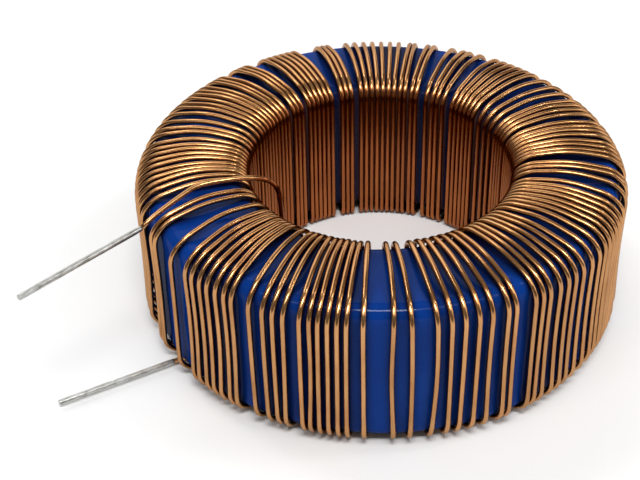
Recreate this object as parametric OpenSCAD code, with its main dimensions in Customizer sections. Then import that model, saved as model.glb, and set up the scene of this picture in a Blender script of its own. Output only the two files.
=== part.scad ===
// Toroidal power inductor: a coated powder ring wound all round with one layer of enamelled wire.
// The ring's axis is +Z and it stands on z = 0. The two tinned leads point to -X and -Y.

/* [Core] */
// Outer diameter of the bare powder ring
ring_outer_diameter = 47.3; // [30:0.1:60]
// Width of the bare powder ring from its hole to its rim
ring_width = 9.4; // [6:0.1:14]
// Height of the bare powder ring
ring_height = 15.1; // [8:0.1:25]
// Radius of the bare ring's tumbled edges
ring_edge_radius = 1.15; // [0.3:0.05:2]
// Thickness of the epoxy coating
coating_thickness = 0.35; // [0.1:0.05:1]

/* [Wire] */
// Diameter of the enamelled wire
wire_diameter = 0.52; // [0.4:0.01:1]
// Space between neighbouring turns where a bunch is packed at the inner wall
turn_clearance = 0.02; // [0.01:0.01:0.2]
// Space between the wire and the coating at the outer edges
coating_clearance = 0.02; // [0.01:0.01:0.2]
// Slack of the turns off the coating along the inner wall
inner_slack = 0.21; // [0.05:0.01:1]
// Slack of the turns above the coating at the inner top edge
shoulder_slack = 0.36; // [0.3:0.01:2]
// Height of the rounding that a turn makes at the inner top edge
shoulder_height = 1.2; // [0.4:0.05:1.5]
// Width of the rounding that a turn makes at the inner top edge
shoulder_width = 1.4; // [0.8:0.05:2]
// Slack of the turns above the coating at the crest of their arch over the top
crest_slack = 0.97; // [0.3:0.01:2]
// Slack of the turns off the top and bottom faces beside the outer edges
rim_slack = 0.03; // [0.03:0.01:0.3]
// Slack of the turns off the coating along the outer wall
wall_slack = 0.42; // [0.05:0.01:0.8]
// Angle at which a turn springs away from the bottom face inside an outer edge
foot_lean = 2; // [1:0.1:8]

/* [Winding] */
// Direction of the first turn, counted from +X
first_turn_angle = 216.5; // [0:0.1:360]
// Share of the inner wall that the turns fill
winding_fill = 0.77; // [0.5:0.001:0.95]
// Angle by which a turn moves on from the inner to the outer edge across the top
turn_advance = 1.1; // [0:0.1:3]

/* [Leads] */
// Diameter of the tinned leads
lead_diameter = 0.64; // [0.4:0.01:1]
// Length of the start lead
start_lead_length = 12.3; // [5:0.5:40]
// Angle of the start lead from the direction of the first turn
start_lead_turn = -5.7; // [-12:0.1:6]
// Length of the finish lead
finish_lead_length = 14.2; // [5:0.5:40]
// Angle of the finish lead from the direction of the first turn
finish_lead_turn = 11.1; // [-10:0.1:25]

/* [Hidden] */
round_steps = 96;
lead_steps = 32;
wire_sides = 6;

// Bunches of turns in the order in which they were wound. Each row is the bunch's share of the turns, the
// slack between its turns and the gap after them, both as shares of the free angle, and how far it fans out at
// the outer wall, from 0 where its turns stay side by side to 1 where each keeps its own direction.
bunch_shares = [
    [1, 0, 3, 1],
    [5, 0.1, 0, 1],
    [2, 0, 2.1, 0.7],
    [1, 0, 1.1, 1],
    [3, 0.1, 0.6, 1],
    [6, 0, 0.4, 0.7],
    [1, 0, 4.2, 1],
    [2, 1.2, 3.1, 1],
    [5, 0.8, 1.2, 1],
    [2, 0, 2.3, 0.6],
    [3, 0, 0.5, 0.8],
    [4, 0.3, 1.3, 1],
    [2, 0.9, 0.5, 1],
    [6, 0, 0.5, 0.9],
    [1, 0, 2.9, 1],
    [1, 0, 1.2, 1],
    [2, 0.2, 2.2, 0.4],
    [4, 0.1, 0.4, 0.8],
    [4, 0, 1.8, 0.8],
    [4, 0.1, 1.9, 1],
    [3, 1.7, 2.3, 1],
    [6, 0.1, 2.4, 1],
    [1, 0, 0.7, 1],
    [2, 0.1, 0.7, 0.3],
    [1, 0, 2.6, 1],
    [2, 0, 0.7, 0.4],
    [2, 0, 0.4, 0],
    [7, 0.2, 2.1, 1],
    [3, 0, 2.7, 0],
    [6, 0, 1.8, 0.5],
    [3, 0, 1.6, 0.3],
    [3, 0, 0.2, 0.3],
    [4, 0, 0.5, 0.9],
    [2, 0, 1.1, 0.9],
    [2, 1.7, 1.2, 1],
    [2, 0.4, 1.9, 1],
    [9, 0.3, 0.9, 1],
    [1, 0, 5.4, 1],
    [2, 0.8, 5.4, 0.2],
];

// The start of the wire below the outer edge: share of the way from the inner wall to the outer edge, angle
// from the first turn, and height as a share of the foot's depth.
start_shares = [1.12, -4.4, -0.96];

// The loose finish of the wire, up through the hole and across the top, in the same three values for each
// point. Heights above the middle are shares of the height at which it crosses the turns.
finish_shares = [
    [-0.084, -4.9, -0.971],
    [-0.222, -4.9, -0.442],
    [-0.212, -4.9, 0.526],
    [-0.181, -4.1, 0.861],
    [-0.123, -5.6, 0.977],
    [0.008, -7.7, 1.04],
    [0.268, -9.7, 1.072],
    [0.592, -12.4, 1.04],
    [0.756, -10.7, 1.019],
    [1.083, -8.5, 0.935],
    [1.265, -7.3, 0.861],
];

// Ring and coating
ring_outer_radius = ring_outer_diameter / 2;
ring_inner_radius = ring_outer_radius - ring_width;
coat_outer_radius = ring_outer_radius + coating_thickness;
coat_inner_radius = ring_inner_radius - coating_thickness;
coat_half_height = ring_height / 2 + coating_thickness;
coat_edge_radius = ring_edge_radius + coating_thickness;

// Places of the wire's centre line in the ring's section, as radius and height from the middle
wire_radius = wire_diameter / 2;
inner_wall_radius = coat_inner_radius - wire_radius - inner_slack;
shoulder_radius = inner_wall_radius + shoulder_width;
shoulder_top = coat_half_height + wire_radius + shoulder_slack;
crest_radius = (coat_inner_radius + coat_outer_radius) / 2;
crest_height = coat_half_height + wire_radius + crest_slack;
outer_wall_radius = coat_outer_radius + wire_radius + wall_slack;
outer_bend_height = coat_half_height + wire_radius + rim_slack;

// The slope that a turn takes over an outer edge, at 45 degrees and just clear of the coating's rounding
bend_reach = (coat_edge_radius + wire_radius + coating_clearance) / cos(45);
edge_sum = coat_outer_radius + coat_half_height - 2 * coat_edge_radius + bend_reach;
outer_bend_radius = edge_sum - outer_bend_height;
wall_bend_height = edge_sum - outer_wall_radius;
foot_height = outer_bend_height + (outer_bend_radius - inner_wall_radius) * tan(foot_lean);
loose_height = crest_height + wire_diameter + turn_clearance;

// Height of the ring's middle above the surface that the turns stand on
middle_height = foot_height + wire_radius * (tan(foot_lean) + 1 / cos(foot_lean));

// Angles of the turns: packed pitches at the inner wall, and what is left of the circle shared out as gaps
packed_pitch = 2 * asin((wire_diameter + turn_clearance) / 2 / inner_wall_radius);
packed_outer_pitch = 2 * asin((wire_diameter + turn_clearance) / 2 / outer_bend_radius);
packed_fan = packed_outer_pitch / packed_pitch;
turns = floor(360 * winding_fill / packed_pitch);
turn_shares = [for (b = bunch_shares) b[0]];
last_bunch = len(bunch_shares) - 1;
bunch_ends = [
    for (k = [0:last_bunch]) round(turns * sum_to(turn_shares, k) / sum_to(turn_shares, last_bunch))
];
bunch_starts = [0, each bunch_ends];
turn_bunches = [for (k = [0:last_bunch]) for (i = [bunch_starts[k]:1:bunch_ends[k] - 1]) k];
turn_slacks = [
    for (i = [0:turns - 1])
        let (bunch = turn_bunches[i])
        i + 1 < bunch_ends[bunch] ? bunch_shares[bunch][1] : bunch_shares[bunch][2]
];
slack_unit = (360 - turns * packed_pitch) / sum_to(turn_slacks, turns - 1);
inner_angles = [
    for (i = 0, a = first_turn_angle; i < turns; a = a + packed_pitch + turn_slacks[i] * slack_unit, i = i + 1)
        a
];

function sum_to(list, last) = last < 0 ? 0 : list[last] + sum_to(list, last - 1);

function unit(v) = v / norm(v);

// A point from its radius, direction and height above the ring's middle
function place(radius, angle, height) = [
    radius * cos(angle),
    radius * sin(angle),
    middle_height + height
];

function share_place(s) = place(
    inner_wall_radius + s[0] * (outer_bend_radius - inner_wall_radius),
    first_turn_angle + s[1],
    s[2] * (s[2] > 0 ? loose_height : foot_height)
);

function level(angle) = [cos(angle), sin(angle), 0];

// Direction of a turn at the outer wall: its bunch fans out about its own middle
function outer_angle(i) =
    let (
        bunch = turn_bunches[i],
        middle = (inner_angles[bunch_starts[bunch]] + inner_angles[bunch_ends[bunch] - 1]) / 2,
        fan = packed_fan + bunch_shares[bunch][3] * (1 - packed_fan)
    )
    middle + (inner_angles[i] - middle) * fan + turn_advance;

// One turn: up the inner wall, over the top and down the outer wall to the foot
function turn_points(i) =
    let (
        a = inner_angles[i],
        b = outer_angle(i),
        step = (b - a) / (outer_bend_radius - inner_wall_radius)
    )
    [
        place(inner_wall_radius, a, -foot_height),
        place(inner_wall_radius, a, shoulder_top - shoulder_height),
        place(shoulder_radius, a + step * shoulder_width, shoulder_top),
        place(crest_radius, a + step * (crest_radius - inner_wall_radius), crest_height),
        place(outer_bend_radius, b, outer_bend_height),
        place(outer_wall_radius, b, wall_bend_height),
        place(outer_wall_radius, b, -wall_bend_height),
        place(outer_bend_radius, b, -outer_bend_height),
    ];

// The wire's centre line from the start lead to the finish lead
wire_path = [
    share_place(start_shares),
    for (i = [0:turns - 1]) each turn_points(i),
    for (s = finish_shares) share_place(s),
];

// The wire's outline in the mitre plane at a point of its path, between the ways in and out
function wire_ring(p, way_in, way_out) =
    let (
        along = unit(way_in + way_out),
        round_axis = unit([-p[1], p[0], 0]),
        side = unit(round_axis - (round_axis * along) * along),
        outward = cross(side, along),
        mitre = 1 / sqrt((1 + way_in * way_out) / 2)
    )
    [
        for (s = [0:wire_sides - 1])
            let (turn = 360 * s / wire_sides)
            p + wire_radius * (cos(turn) * mitre * outward + sin(turn) * side)
    ];

module rounded_section(inner_radius, outer_radius, half_height, edge_radius) {
    width = outer_radius - inner_radius;
    translate([inner_radius + edge_radius, -half_height])
        square([width - 2 * edge_radius, 2 * half_height]);
    translate([inner_radius, edge_radius - half_height])
        square([width, 2 * (half_height - edge_radius)]);
    for (r = [inner_radius + edge_radius, outer_radius - edge_radius])
        for (side = [-1, 1])
            translate([r, side * (half_height - edge_radius)])
                circle(r = edge_radius, $fn = round_steps);
}

module ring_section() {
    rounded_section(
        ring_inner_radius,
        ring_outer_radius,
        ring_height / 2,
        ring_edge_radius
    );
}

module powder_core() {
    color("DimGray")
        translate([0, 0, middle_height])
            rotate_extrude($fn = round_steps)
                ring_section();
}

module core_coating() {
    color("MediumBlue")
        translate([0, 0, middle_height])
            rotate_extrude($fn = round_steps)
                difference() {
                    rounded_section(coat_inner_radius, coat_outer_radius, coat_half_height, coat_edge_radius);
                    ring_section();
                }
}

module winding() {
    last = len(wire_path) - 1;
    ways = [for (i = [0:last - 1]) unit(wire_path[i + 1] - wire_path[i])];
    start_way = -level(first_turn_angle + start_lead_turn);
    finish_way = level(first_turn_angle + finish_lead_turn);
    points = [
        each wire_ring(wire_path[0], start_way, start_way),
        for (i = [1:last - 1]) each wire_ring(wire_path[i], ways[i - 1], ways[i]),
        each wire_ring(wire_path[last], finish_way, finish_way),
    ];
    walls = [
        for (i = [0:last - 1])
            for (s = [0:wire_sides - 1])
                let (
                    a = i * wire_sides + s,
                    b = i * wire_sides + (s + 1) % wire_sides
                )
                each [[a, b + wire_sides, b], [a, a + wire_sides, b + wire_sides]]
    ];
    start_cap = [for (s = [0:wire_sides - 1]) s];
    finish_cap = [for (s = [wire_sides - 1:-1:0]) last * wire_sides + s];
    color("Peru")
        polyhedron(points, [start_cap, each walls, finish_cap]);
}

module lead(from, turn, length) {
    color("Silver")
        translate(from)
            rotate([0, 90, first_turn_angle + turn])
                cylinder(d = lead_diameter, h = length, $fn = lead_steps);
}

module start_lead() {
    lead(wire_path[0], start_lead_turn, start_lead_length);
}

module finish_lead() {
    lead(wire_path[len(wire_path) - 1], finish_lead_turn, finish_lead_length);
}

powder_core();
core_coating();
winding();
start_lead();
finish_lead();
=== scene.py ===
"""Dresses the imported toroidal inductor: smooth enamelled wire, a glossy coated ring and two tinned leads."""
import math

import bpy
import numpy as np
from mathutils import Matrix, Vector, noise


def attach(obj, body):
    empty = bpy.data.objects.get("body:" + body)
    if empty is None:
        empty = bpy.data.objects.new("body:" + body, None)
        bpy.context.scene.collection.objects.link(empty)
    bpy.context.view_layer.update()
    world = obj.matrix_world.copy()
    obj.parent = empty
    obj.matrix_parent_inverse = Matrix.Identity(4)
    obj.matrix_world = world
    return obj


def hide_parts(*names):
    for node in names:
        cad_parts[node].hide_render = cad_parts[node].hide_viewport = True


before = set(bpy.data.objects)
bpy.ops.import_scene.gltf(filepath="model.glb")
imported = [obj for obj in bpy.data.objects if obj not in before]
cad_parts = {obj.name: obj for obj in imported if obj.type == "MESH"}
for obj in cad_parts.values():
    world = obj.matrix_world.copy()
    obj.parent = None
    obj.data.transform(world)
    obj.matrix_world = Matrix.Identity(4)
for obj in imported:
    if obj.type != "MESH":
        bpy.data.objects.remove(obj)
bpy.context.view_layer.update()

MM = 0.001
RNG = np.random.default_rng(11)

# Sizes of the part's source, in millimetres and degrees
COAT_OUTER, COAT_INNER, COAT_HALF, COAT_EDGE = 24.0, 13.9, 7.9, 1.5
WIRE_D, TURN_CLEAR, COAT_CLEAR = 0.52, 0.02, 0.02
INNER_SLACK, SHOULDER_SLACK, SHOULDER_H, SHOULDER_W = 0.21, 0.36, 1.2, 1.4
CREST_SLACK, RIM_SLACK, WALL_SLACK, FOOT_LEAN = 0.97, 0.03, 0.42, 2.0
FIRST_TURN, ADVANCE = 216.5, 1.1
LEAD_D = 0.64
START_LEAD, FINISH_LEAD = (210.8, 12.3), (227.6, 14.2)

# How far the smooth pieces stay inside the solids that they replace, in millimetres
WIRE_INSET, COAT_INSET, LEAD_INSET = 0.004, 0.03, 0.018
# Depth and scale of the coat's broad and fine flow marks, and depth of the tin's unevenness
BROAD_FLOW, FINE_FLOW, TIN_FLOW = (0.03, 0.35), (0.012, 1.3), 0.014
# Sides and steps of the meshes
WIRE_SIDES, LEAD_SIDES, LEAD_STEPS, NECK_STEPS = 12, 20, 60, 9
RING_STEPS, FLAT_STEPS, EDGE_STEPS = 360, 14, 9
# Along a lead: the solder's neck and its rise, the start of the even part, and the cut end
NECK_LENGTH, NECK_RISE, EVEN_FROM, CUT_FROM, CUT_AT = 1.2, 1.1, 1.5, 0.12, 0.05

# How each turn strays from its solid: sag of the outer wall, lift of the arch, drift along the ring in degrees
SAG_LEAST, SAG_SPREAD, SAG_MOST = 0.1, 0.1, 0.3
LIFT_SPREAD, LIFT_MOST = 0.07, 0.15
DRIFT_SHARE, DRIFT_MOST = 0.32, 0.7
# Length cut off and points set at each bend of a turn, from the inner wall up and over to the underside
TURN_CUTS, TURN_COUNTS = [0.9, 0.85, 0.9, 2.3, 1.0, 1.0, 4.5, 1.0, 1.0], [7, 6, 6, 6, 6, 7, 6, 6, 6]
LOOSE_CUT, LOOSE_COUNT = 4.0, 9

# Bunches of turns as wound: turns, slack between them, gap after them, fan at the outer wall
BUNCHES = [
    (1, 0, 3, 1), (5, 0.1, 0, 1), (2, 0, 2.1, 0.7), (1, 0, 1.1, 1), (3, 0.1, 0.6, 1), (6, 0, 0.4, 0.7),
    (1, 0, 4.2, 1), (2, 1.2, 3.1, 1), (5, 0.8, 1.2, 1), (2, 0, 2.3, 0.6), (3, 0, 0.5, 0.8), (4, 0.3, 1.3, 1),
    (2, 0.9, 0.5, 1), (6, 0, 0.5, 0.9), (1, 0, 2.9, 1), (1, 0, 1.2, 1), (2, 0.2, 2.2, 0.4), (4, 0.1, 0.4, 0.8),
    (4, 0, 1.8, 0.8), (4, 0.1, 1.9, 1), (3, 1.7, 2.3, 1), (6, 0.1, 2.4, 1), (1, 0, 0.7, 1), (2, 0.1, 0.7, 0.3),
    (1, 0, 2.6, 1), (2, 0, 0.7, 0.4), (2, 0, 0.4, 0), (7, 0.2, 2.1, 1), (3, 0, 2.7, 0), (6, 0, 1.8, 0.5),
    (3, 0, 1.6, 0.3), (3, 0, 0.2, 0.3), (4, 0, 0.5, 0.9), (2, 0, 1.1, 0.9), (2, 1.7, 1.2, 1), (2, 0.4, 1.9, 1),
    (9, 0.3, 0.9, 1), (1, 0, 5.4, 1), (2, 0.8, 5.4, 0.2),
]
# Shares of the wire's start and of its loose finish: across the ring, angle from the first turn, height
START = (1.12, -4.4, -0.96)
FINISH = [
    (-0.084, -4.9, -0.971), (-0.222, -4.9, -0.442), (-0.212, -4.9, 0.526), (-0.181, -4.1, 0.861),
    (-0.123, -5.6, 0.977), (0.008, -7.7, 1.04), (0.268, -9.7, 1.072), (0.592, -12.4, 1.04),
    (0.756, -10.7, 1.019), (1.083, -8.5, 0.935), (1.265, -7.3, 0.861),
]


def tan(angle):
    return math.tan(math.radians(angle))


def cos(angle):
    return math.cos(math.radians(angle))


# The wire's places in the ring's section
wire_r = WIRE_D / 2
edge_r, edge_z = COAT_OUTER - COAT_EDGE, COAT_HALF - COAT_EDGE
inner_r = COAT_INNER - wire_r - INNER_SLACK
shoulder_z = COAT_HALF + wire_r + SHOULDER_SLACK
crest_r, crest_z = (COAT_INNER + COAT_OUTER) / 2, COAT_HALF + wire_r + CREST_SLACK
wall_r = COAT_OUTER + wire_r + WALL_SLACK
outer_z = COAT_HALF + wire_r + RIM_SLACK
edge_sum = edge_r + edge_z + (COAT_EDGE + wire_r + COAT_CLEAR) / cos(45)
outer_r, wall_z = edge_sum - outer_z, edge_sum - wall_r
base_z = outer_z + (outer_r - inner_r) * tan(FOOT_LEAN)
loose_z = crest_z + WIRE_D + TURN_CLEAR
middle = base_z + wire_r * (tan(FOOT_LEAN) + 1 / cos(FOOT_LEAN))


def pitch(radius):
    """Angle between two turns that lie side by side at a radius."""
    return 2 * math.degrees(math.asin((WIRE_D + TURN_CLEAR) / 2 / radius))


def place(radius, angle, height):
    """A point from its radius, its direction and its height over the ring's middle."""
    a = np.radians(angle)
    return np.array([radius * np.cos(a), radius * np.sin(a), middle + height])


def share_place(s):
    """A point from its share of the way across the ring, its angle from the first turn and its share of the height."""
    height = s[2] * (loose_z if s[2] > 0 else base_z)
    return place(inner_r + s[0] * (outer_r - inner_r), FIRST_TURN + s[1], height)


def level(angle):
    """A level direction."""
    return np.array([cos(angle), math.sin(math.radians(angle)), 0.0])


def turn_angles():
    """Direction of each turn at the inner wall and at the outer wall."""
    painted_hole_gap_shade = pitch(inner_r)
    fan_min = pitch(outer_r) / painted_hole_gap_shade
    slacks = [b[1] if t < b[0] else b[2] for b in BUNCHES for t in range(1, b[0] + 1)]
    unit = (360 - len(slacks) * painted_hole_gap_shade) / sum(slacks)
    inner = FIRST_TURN + np.concatenate([[0], np.cumsum(painted_hole_gap_shade + np.array(slacks) * unit)[:-1]])
    outer, n = [], 0
    for b in BUNCHES:
        own = inner[n:n + b[0]]
        mid = (own[0] + own[-1]) / 2
        outer += list(mid + (own - mid) * (fan_min + b[3] * (1 - fan_min)) + ADVANCE)
        n += b[0]
    return inner, np.array(outer)


def rounded(points, cuts, counts):
    """A polyline with each corner replaced by a curve that starts and ends a cut away from it."""
    out = [points[0]]
    marks = [0]
    for i in range(1, len(points) - 1):
        p, before, after = points[i], points[i - 1] - points[i], points[i + 1] - points[i]
        lb, la = np.linalg.norm(before), np.linalg.norm(after)
        a = p + before / lb * min(cuts[i], 0.49 * lb)
        c = p + after / la * min(cuts[i], 0.49 * la)
        for t in np.linspace(0, 1, counts[i]):
            out.append((1 - t) ** 2 * a + 2 * t * (1 - t) * p + t * t * c)
            marks.append(i)
    out.append(points[-1])
    marks.append(len(points) - 1)
    return np.array(out), np.array(marks)


def wire_line():
    """The wire's smooth centre line, and the turn that each of its points belongs to."""
    inner, outer = turn_angles()
    n = len(inner)
    ahead = np.diff(np.concatenate([outer, [outer[0] + 360]])) - pitch(wall_r)
    room = DRIFT_SHARE * np.minimum(np.maximum(ahead, 0), np.maximum(np.roll(ahead, 1), 0))
    room = np.minimum(room, DRIFT_MOST)
    points, cuts, counts, owner = [share_place(START)], [0], [1], [0]
    for i in range(n):
        a, b = inner[i], outer[i]
        step = (b - a) / (outer_r - inner_r)
        sag = min(SAG_LEAST + abs(RNG.normal(0, SAG_SPREAD)), SAG_MOST)
        lift = RNG.normal(0, LIFT_SPREAD)
        drift = RNG.uniform(-1, 1, 3) * room[i]
        points += [
            place(inner_r, a, -base_z),
            place(inner_r, a, shoulder_z - SHOULDER_H),
            place(inner_r + SHOULDER_W, a + step * SHOULDER_W, shoulder_z + lift * 0.5),
            place(crest_r, a + step * (crest_r - inner_r) + drift[0] * 0.5,
                  crest_z + np.clip(lift, -LIFT_MOST, LIFT_MOST)),
            place(outer_r, b, outer_z),
            place(wall_r, b + drift[1] * 0.3, wall_z),
            place(wall_r - sag, b + drift[1], 0),
            place(wall_r, b + drift[2], -wall_z),
            place(outer_r, b + drift[2], -outer_z),
        ]
        cuts += TURN_CUTS
        counts += TURN_COUNTS
        owner += [i] * len(TURN_CUTS)
    loose = [share_place(s) for s in FINISH]
    points += loose
    cuts += [LOOSE_CUT] * len(loose)
    counts += [LOOSE_COUNT] * len(loose)
    owner += [n] * len(loose)
    line, marks = rounded(points, cuts, counts)
    return line, np.array(owner)[marks]


def smooth_mesh(name, verts, faces):
    """A smooth-shaded mesh object from points in millimetres."""
    mesh = bpy.data.meshes.new(name)
    mesh.from_pydata((np.asarray(verts) * MM).tolist(), [], faces)
    mesh.polygons.foreach_set("use_smooth", [True] * len(mesh.polygons))
    mesh.update()
    obj = bpy.data.objects.new(name, mesh)
    bpy.context.scene.collection.objects.link(obj)
    return obj


def tube(name, line, radii, sides, first_way, last_way, tones=None):
    """A closed tube along a line, with a UV map of length along it and share around it."""
    n = len(line)
    ways = np.zeros_like(line)
    ways[1:-1] = line[2:] - line[:-2]
    ways[0], ways[-1] = first_way, last_way
    ways /= np.linalg.norm(ways, axis=1)[:, None]
    around = np.stack([-line[:, 1], line[:, 0], np.zeros(n)], 1)
    around /= np.linalg.norm(around, axis=1)[:, None]
    side = around - np.sum(around * ways, 1)[:, None] * ways
    side /= np.linalg.norm(side, axis=1)[:, None]
    out = np.cross(side, ways)
    turn = 2 * math.pi * np.arange(sides) / sides + math.pi
    ring = np.cos(turn)[None, :, None] * out[:, None, :] + np.sin(turn)[None, :, None] * side[:, None, :]
    verts = (line[:, None, :] + np.asarray(radii).reshape(n, -1, 1) * ring).reshape(-1, 3)
    faces = []
    for i in range(n - 1):
        for s in range(sides):
            a, b = i * sides + s, i * sides + (s + 1) % sides
            faces.append((a, a + sides, b + sides, b))
    faces.append(tuple(range(sides)))
    faces.append(tuple((n - 1) * sides + s for s in reversed(range(sides))))
    obj = smooth_mesh(name, verts, faces)
    length = np.concatenate([[0], np.cumsum(np.linalg.norm(np.diff(line, axis=0), axis=1))])
    uv = obj.data.uv_layers.new(name="along")
    coords = np.zeros((len(obj.data.loops), 2), np.float32)
    k = 0
    for i in range(n - 1):
        for s in range(sides):
            u0, u1, v0, v1 = length[i], length[i + 1], s / sides, (s + 1) / sides
            coords[k:k + 4] = [(u0, v0), (u1, v0), (u1, v1), (u0, v1)]
            k += 4
    uv.data.foreach_set("uv", coords.ravel())
    if tones is not None:
        layer = obj.data.attributes.new("turn_tone", "FLOAT", "POINT")
        layer.data.foreach_set("value", np.repeat(tones, sides).astype(np.float32))
    return obj


def make_wire():
    """The whole wire as one smooth tube, with a tone of its own for each turn."""
    line, owner = wire_line()
    tone = RNG.uniform(0, 1, owner.max() + 1)
    first, last = -level(START_LEAD[0]), level(FINISH_LEAD[0])
    radii = np.full(len(line), wire_r - WIRE_INSET)
    return tube("enamelled_wire", line, radii, WIRE_SIDES, first, last, tone[owner])


def make_coating():
    """The coated ring: a rounded section turned round the axis, with the slight flow marks of a dipped coat."""
    corner = [math.radians(t) for t in np.linspace(0, 90, EDGE_STEPS)]
    section = []
    for r, z, start in ((edge_r, edge_z, 0), (COAT_INNER + COAT_EDGE, edge_z, 90),
                        (COAT_INNER + COAT_EDGE, -edge_z, 180), (edge_r, -edge_z, 270)):
        section += [(r + COAT_EDGE * math.cos(math.radians(start) + t),
                     z + COAT_EDGE * math.sin(math.radians(start) + t)) for t in corner]
    fine = []
    for k, p in enumerate(section):
        q = section[(k + 1) % len(section)]
        gap = math.dist(p, q)
        steps = FLAT_STEPS if gap > 1 else 1
        fine += [(p[0] + (q[0] - p[0]) * j / steps, p[1] + (q[1] - p[1]) * j / steps) for j in range(steps)]
    fine = np.array(fine)
    ahead, behind = np.roll(fine, -1, 0), np.roll(fine, 1, 0)
    normal = np.stack([(ahead - behind)[:, 1], -(ahead - behind)[:, 0]], 1)
    normal /= np.linalg.norm(normal, axis=1)[:, None]
    rounds, m = RING_STEPS, len(fine)
    verts = []
    for k in range(rounds):
        a = 2 * math.pi * k / rounds
        for (r, z), (nr, nz) in zip(fine, normal):
            p = Vector((r * math.cos(a), r * math.sin(a), z))
            broad = BROAD_FLOW[0] * noise.noise(p * BROAD_FLOW[1])
            small = FINE_FLOW[0] * noise.noise(p * FINE_FLOW[1])
            dip = COAT_INSET + broad + small
            r2, z2 = r - nr * dip, z - nz * dip
            verts.append((r2 * math.cos(a), r2 * math.sin(a), middle + z2))
    faces = [(k * m + j, ((k + 1) % rounds) * m + j, ((k + 1) % rounds) * m + (j + 1) % m, k * m + (j + 1) % m)
             for k in range(rounds) for j in range(m)]
    return smooth_mesh("coated_ring", verts, faces)


def make_lead(name, start, angle, length, seed):
    """A tinned wire end: a thickened start where the solder stopped, an uneven skin and a cut end."""
    way = level(angle)
    steps = np.concatenate([
        np.linspace(0, NECK_LENGTH, NECK_STEPS),
        np.linspace(EVEN_FROM, length - CUT_FROM, LEAD_STEPS),
        [length - CUT_AT, length],
    ])
    line = start + steps[:, None] * way
    sides = LEAD_SIDES
    turn = 2 * math.pi * np.arange(sides) / sides
    full = LEAD_D / 2
    radii = np.zeros((len(steps), sides))
    for i, t in enumerate(steps):
        rise = min(1, t / NECK_RISE)
        base = wire_r + (full - LEAD_INSET - wire_r) * rise * rise * (3 - 2 * rise)
        for s in range(sides):
            p = Vector((t * 0.9, math.cos(turn[s]) * 0.6 + seed, math.sin(turn[s]) * 0.6))
            radii[i, s] = min(full, base + TIN_FLOW * noise.noise(p) * rise)
    radii[-2] *= 0.985
    radii[-1] *= 0.9
    return tube(name, line, radii, sides, way, way)


# Materials
def material(name):
    mat = bpy.data.materials.new(name)
    mat.use_nodes = True
    tree = mat.node_tree
    return mat, tree, tree.nodes["Principled BSDF"]


def node(tree, kind, inputs=None, **settings):
    """A new shader node, with its inputs linked or set."""
    n = tree.nodes.new(kind)
    for key, value in settings.items():
        setattr(n, key, value)
    for key, value in (inputs or {}).items():
        if isinstance(value, bpy.types.NodeSocket):
            tree.links.new(value, n.inputs[key])
        else:
            n.inputs[key].default_value = value
    return n


def ramp(tree, fac, stops):
    """A colour ramp from its stops."""
    n = node(tree, "ShaderNodeValToRGB", {"Fac": fac})
    elements = n.color_ramp.elements
    while len(elements) < len(stops):
        elements.new(0.5)
    for e, (pos, col) in zip(elements, stops):
        e.position = pos
        e.color = (*col, 1) if len(col) == 3 else col
    return n.outputs["Color"]


def mix(tree, fac, a, b, blend="MIX"):
    """A mix of two colours."""
    n = tree.nodes.new("ShaderNodeMix")
    n.data_type = "RGBA"
    n.blend_type = blend
    for key, value in ((0, fac), (6, a), (7, b)):
        if isinstance(value, bpy.types.NodeSocket):
            tree.links.new(value, n.inputs[key])
        else:
            n.inputs[key].default_value = value
    return n.outputs[2]


def inside(tree, where, near, far):
    """One in the ring's hole and nought outside it."""
    level_at = node(tree, "ShaderNodeMapping", {"Vector": where, "Scale": (1.0, 1.0, 0.0)}).outputs["Vector"]
    radius = node(tree, "ShaderNodeVectorMath", {0: level_at}, operation="LENGTH").outputs["Value"]
    limits = {"Value": radius, "From Min": near * MM, "From Max": far * MM, "To Min": 1.0, "To Max": 0.0}
    return node(tree, "ShaderNodeMapRange", limits).outputs["Result"]


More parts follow.
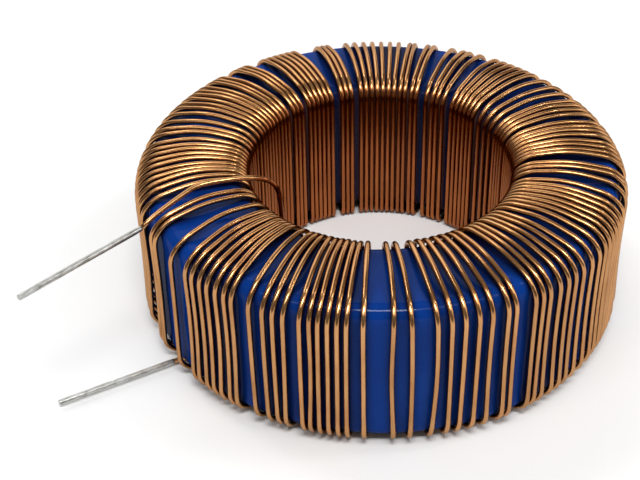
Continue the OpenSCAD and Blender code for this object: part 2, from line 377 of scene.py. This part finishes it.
def enamel():
    """Copper under a thin clear enamel: streaks along the wire, a tone for each turn, painted shade beside close turns,
    and painted darker, browner shade in the hole.
    """
    mat, tree, bsdf = material("enamelled_copper")
    uv = node(tree, "ShaderNodeUVMap", uv_map="along").outputs["UV"]
    where = node(tree, "ShaderNodeTexCoord").outputs["Object"]
    streak_at = node(tree, "ShaderNodeMapping", {"Vector": uv, "Scale": (0.35, 7.0, 1.0)}).outputs["Vector"]
    streak = node(tree, "ShaderNodeTexNoise", {"Vector": streak_at, "Scale": 1.0, "Detail": 3.0}).outputs["Fac"]
    cloud = node(tree, "ShaderNodeTexNoise", {"Vector": where, "Scale": 260.0, "Detail": 3.0}).outputs["Fac"]
    tone = node(tree, "ShaderNodeAttribute", attribute_name="turn_tone").outputs["Fac"]
    copper = ramp(tree, cloud, [(0.3, (0.54, 0.29, 0.125)), (0.52, (0.63, 0.363, 0.165)), (0.75, (0.70, 0.418, 0.205))])
    turned = mix(tree, tone, (0.86, 0.83, 0.78, 1), (1.08, 1.06, 1.02, 1))
    colour = mix(tree, 1.0, copper, turned, "MULTIPLY")
    worn = ramp(tree, streak, [(0.34, (0.78, 0.74, 0.7)), (0.6, (1, 1, 1))])
    colour = mix(tree, 0.6, colour, worn, "MULTIPLY")
    # Painted shade: ambient occlusion darkens the copper where close turns lie beside it, less strongly in the hole.
    beside = node(tree, "ShaderNodeAmbientOcclusion", {"Distance": 0.0006}, samples=8).outputs["AO"]
    painted_contact_shade = ramp(tree, beside, [(0.15, (0.5, 0.34, 0.25)), (0.6, (0.78, 0.66, 0.56)), (0.93, (1, 1, 1))])
    hole_shade_mask = inside(tree, where, inner_r + 0.05, inner_r + 0.55)
    painted_contact_shade = mix(tree, hole_shade_mask, painted_contact_shade, ramp(tree, beside, [(0.1, (0.7, 0.62, 0.55)), (0.5, (1, 1, 1))]))
    colour = mix(tree, 1.0, colour, painted_contact_shade, "MULTIPLY")
    # Painted shade: in the ring's hole the copper is multiplied darker and browner, standing in for the dim light
    # thrown back from the copper there.
    tree.links.new(mix(tree, hole_shade_mask, colour, (0.64, 0.37, 0.17, 1), "MULTIPLY"), bsdf.inputs["Base Color"])
    rough = node(tree, "ShaderNodeMapRange", {"Value": streak, "To Min": 0.17, "To Max": 0.29}).outputs["Result"]
    tree.links.new(rough, bsdf.inputs["Roughness"])
    bump = node(tree, "ShaderNodeBump", {"Height": streak, "Strength": 0.12, "Distance": 0.00004}).outputs["Normal"]
    tree.links.new(bump, bsdf.inputs["Normal"])
    bsdf.inputs["Metallic"].default_value = 1.0
    bsdf.inputs["Coat Weight"].default_value = 0.5
    bsdf.inputs["Coat Roughness"].default_value = 0.1
    bsdf.inputs["Coat Tint"].default_value = (0.8, 0.62, 0.4, 1)
    bsdf.inputs["Specular Tint"].default_value = (0.55, 0.4, 0.25, 1)
    return mat


def epoxy():
    """Blue dipped coat with a slight orange peel, with painted dark shade between close turns and painted darker,
    browner shade in the hole.
    """
    mat, tree, bsdf = material("blue_epoxy")
    where = node(tree, "ShaderNodeTexCoord").outputs["Object"]
    cloud = node(tree, "ShaderNodeTexNoise", {"Vector": where, "Scale": 120.0, "Detail": 4.0}).outputs["Fac"]
    peel = node(tree, "ShaderNodeTexNoise", {"Vector": where, "Scale": 900.0, "Detail": 2.0}).outputs["Fac"]
    grain = node(tree, "ShaderNodeTexNoise", {"Vector": where, "Scale": 4200.0, "Detail": 1.0}).outputs["Fac"]
    blue = ramp(tree, cloud, [(0.3, (0.002, 0.027, 0.18)), (0.55, (0.003, 0.036, 0.225)), (0.75, (0.005, 0.047, 0.27))])
    speck = ramp(tree, grain, [(0.62, (1, 1, 1)), (0.75, (0.72, 0.76, 0.84))])
    # Painted shade: where ambient occlusion finds close turns the blue gives way to near black, and in the hole to a
    # brown or navy shade standing in for light thrown back from the copper.
    open_to = node(tree, "ShaderNodeAmbientOcclusion", {"Distance": 0.002}, samples=8).outputs["AO"]
    bare = ramp(tree, open_to, [(0.34, (0, 0, 0)), (0.64, (0.45, 0.45, 0.45)), (0.87, (1, 1, 1))])
    hole_shade_mask = inside(tree, where, COAT_INNER, COAT_INNER + 0.8)
    wide = ramp(tree, open_to, [(0.18, (0, 0, 0)), (0.32, (1, 1, 1))])
    painted_hole_gap_shade = mix(tree, wide, (0.2, 0.08, 0.042, 1), (0.002, 0.008, 0.03, 1))
    painted_gap_shade = mix(tree, hole_shade_mask, (0.003, 0.003, 0.012, 1), painted_hole_gap_shade)
    # Painted shade: the open blue is multiplied down to 0.3 in the ring's hole.
    blue_with_hole_shade = mix(tree, hole_shade_mask, mix(tree, 0.7, blue, speck, "MULTIPLY"), (0.3, 0.3, 0.3, 1), "MULTIPLY")
    colour = mix(tree, bare, painted_gap_shade, blue_with_hole_shade)
    tree.links.new(colour, bsdf.inputs["Base Color"])
    rough = node(tree, "ShaderNodeMapRange", {"Value": cloud, "To Min": 0.36, "To Max": 0.5}).outputs["Result"]
    tree.links.new(rough, bsdf.inputs["Roughness"])
    bump = node(tree, "ShaderNodeBump", {"Height": peel, "Strength": 0.25, "Distance": 0.00006}).outputs["Normal"]
    tree.links.new(bump, bsdf.inputs["Normal"])
    bsdf.inputs["Specular IOR Level"].default_value = 0.0
    bsdf.inputs["Coat Weight"].default_value = 0.14
    bsdf.inputs["Coat Roughness"].default_value = 0.07
    return mat


def tin():
    """Dull tin with streaks along the wire."""
    mat, tree, bsdf = material("tinned_copper")
    uv = node(tree, "ShaderNodeUVMap", uv_map="along").outputs["UV"]
    where = node(tree, "ShaderNodeTexCoord").outputs["Object"]
    streak_at = node(tree, "ShaderNodeMapping", {"Vector": uv, "Scale": (0.8, 5.0, 1.0)}).outputs["Vector"]
    streak = node(tree, "ShaderNodeTexNoise", {"Vector": streak_at, "Scale": 1.6, "Detail": 4.0}).outputs["Fac"]
    spot = node(tree, "ShaderNodeTexNoise", {"Vector": where, "Scale": 900.0, "Detail": 3.0}).outputs["Fac"]
    grey = ramp(tree, streak, [(0.3, (0.3, 0.3, 0.285)), (0.5, (0.54, 0.54, 0.52)), (0.7, (0.72, 0.72, 0.70))])
    dull = ramp(tree, spot, [(0.35, (0.74, 0.73, 0.70)), (0.6, (1, 1, 1))])
    tree.links.new(mix(tree, 0.8, grey, dull, "MULTIPLY"), bsdf.inputs["Base Color"])
    rough = node(tree, "ShaderNodeMapRange", {"Value": spot, "To Min": 0.24, "To Max": 0.45}).outputs["Result"]
    tree.links.new(rough, bsdf.inputs["Roughness"])
    bump = node(tree, "ShaderNodeBump", {"Height": streak, "Strength": 0.3, "Distance": 0.00005}).outputs["Normal"]
    tree.links.new(bump, bsdf.inputs["Normal"])
    bsdf.inputs["Metallic"].default_value = 1.0
    return mat


def powder():
    """Grey pressed powder."""
    mat, tree, bsdf = material("pressed_powder")
    where = node(tree, "ShaderNodeTexCoord").outputs["Object"]
    grain = node(tree, "ShaderNodeTexNoise", {"Vector": where, "Scale": 5000.0, "Detail": 2.0}).outputs["Fac"]
    grey = ramp(tree, grain, [(0.35, (0.10, 0.10, 0.105)), (0.65, (0.22, 0.22, 0.23))])
    tree.links.new(grey, bsdf.inputs["Base Color"])
    bump = node(tree, "ShaderNodeBump", {"Height": grain, "Strength": 0.3, "Distance": 0.00005}).outputs["Normal"]
    tree.links.new(bump, bsdf.inputs["Normal"])
    bsdf.inputs["Roughness"].default_value = 0.7
    bsdf.inputs["Metallic"].default_value = 0.4
    return mat


def add(piece, cad_node, mat):
    """Puts a smooth piece in the place of a solid."""
    piece.data.materials.append(mat)
    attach(piece, "root")
    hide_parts(cad_node)


tinned = tin()
add(make_coating(), "core_coating", epoxy())
add(make_wire(), "winding", enamel())
add(make_lead("start_tinned_end", share_place(START), *START_LEAD, 3.0), "start_lead", tinned)
add(make_lead("finish_tinned_end", share_place(FINISH[-1]), *FINISH_LEAD, 9.0), "finish_lead", tinned)
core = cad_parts["powder_core"]
core.data.materials.clear()
core.data.materials.append(powder())

# Floor, light and camera
floor_mesh = bpy.data.meshes.new("floor")
floor_mesh.from_pydata([(-4, -4, 0), (4, -4, 0), (4, 4, 0), (-4, 4, 0)], [], [(0, 1, 2, 3)])
floor = bpy.data.objects.new("floor", floor_mesh)
bpy.context.scene.collection.objects.link(floor)
paper, _, paper_bsdf = material("pale_paper")
paper_bsdf.inputs["Base Color"].default_value = (0.88, 0.88, 0.88, 1)
paper_bsdf.inputs["Roughness"].default_value = 0.9
paper_bsdf.inputs["Specular IOR Level"].default_value = 0.0
floor_mesh.materials.append(paper)

world = bpy.data.worlds.new("studio")
world.use_nodes = True
bpy.context.scene.world = world
sky = world.node_tree.nodes["Background"]
sky.inputs["Color"].default_value = (1, 1, 1, 1)
sky.inputs["Strength"].default_value = 0.18

# Soft lamps, all aimed at the ring's middle: name, place, width and height, watts
LAMP_AIM = Vector((0, 0, 0.01))
LAMPS = [
    ("key", (0.03, -0.38, 0.73), (1.5, 0.17), 3.6),
    ("key_core", (0.03, -0.37, 0.72), (0.26, 0.12), 2.9),
    ("back_left", (-0.25, 0.55, 0.54), (0.76, 0.54), 1.95),
    ("backdrop", (0, 0.9, 0.2), (1.8, 0.4), 2.15),
    ("left_top", (-0.36, 0.26, 0.66), (0.12, 0.12), 0.5),
    ("right", (0.72, 0.03, 0.28), (0.4, 0.34), 1.0),
    ("right_spot", (0.55, 0.03, 0.66), (0.11, 0.06), 0.6),
    ("overhead", (0, 0.08, 0.9), (0.5, 0.4), 0.2),
]
for name, at, size, watts in LAMPS:
    lamp = bpy.data.lights.new(name, "AREA")
    lamp.shape = "RECTANGLE"
    lamp.size, lamp.size_y = size
    lamp.energy = watts
    holder = bpy.data.objects.new(name, lamp)
    holder.location = at
    holder.rotation_euler = (LAMP_AIM - Vector(at)).to_track_quat("-Z", "Y").to_euler()
    bpy.context.scene.collection.objects.link(holder)

# The photograph's viewpoint: the camera's own directions and its place over the ring's middle, in metres
CAMERA_RIGHT, CAMERA_UP, CAMERA_BACK = (
    (0.99912, 0.03838, -0.01684), (-0.00987, 0.60597, 0.79543), (0.04073, -0.79456, 0.60582))
CAMERA_Y, CAMERA_OVER = -0.121986, 0.09055
lens = bpy.data.cameras.new("camera")
lens.sensor_fit = "HORIZONTAL"
lens.sensor_width = 36.0
lens.lens = 81.77
lens.clip_start = 0.005
camera = bpy.data.objects.new("camera", lens)
turned = Matrix((CAMERA_RIGHT, CAMERA_UP, CAMERA_BACK)).transposed()
camera_at = Matrix.Translation((0.0, CAMERA_Y, CAMERA_OVER + middle * MM))
camera.matrix_world = camera_at @ turned.to_4x4()
bpy.context.scene.collection.objects.link(camera)
bpy.context.scene.camera = camera
bpy.context.scene.view_settings.view_transform = "Standard"
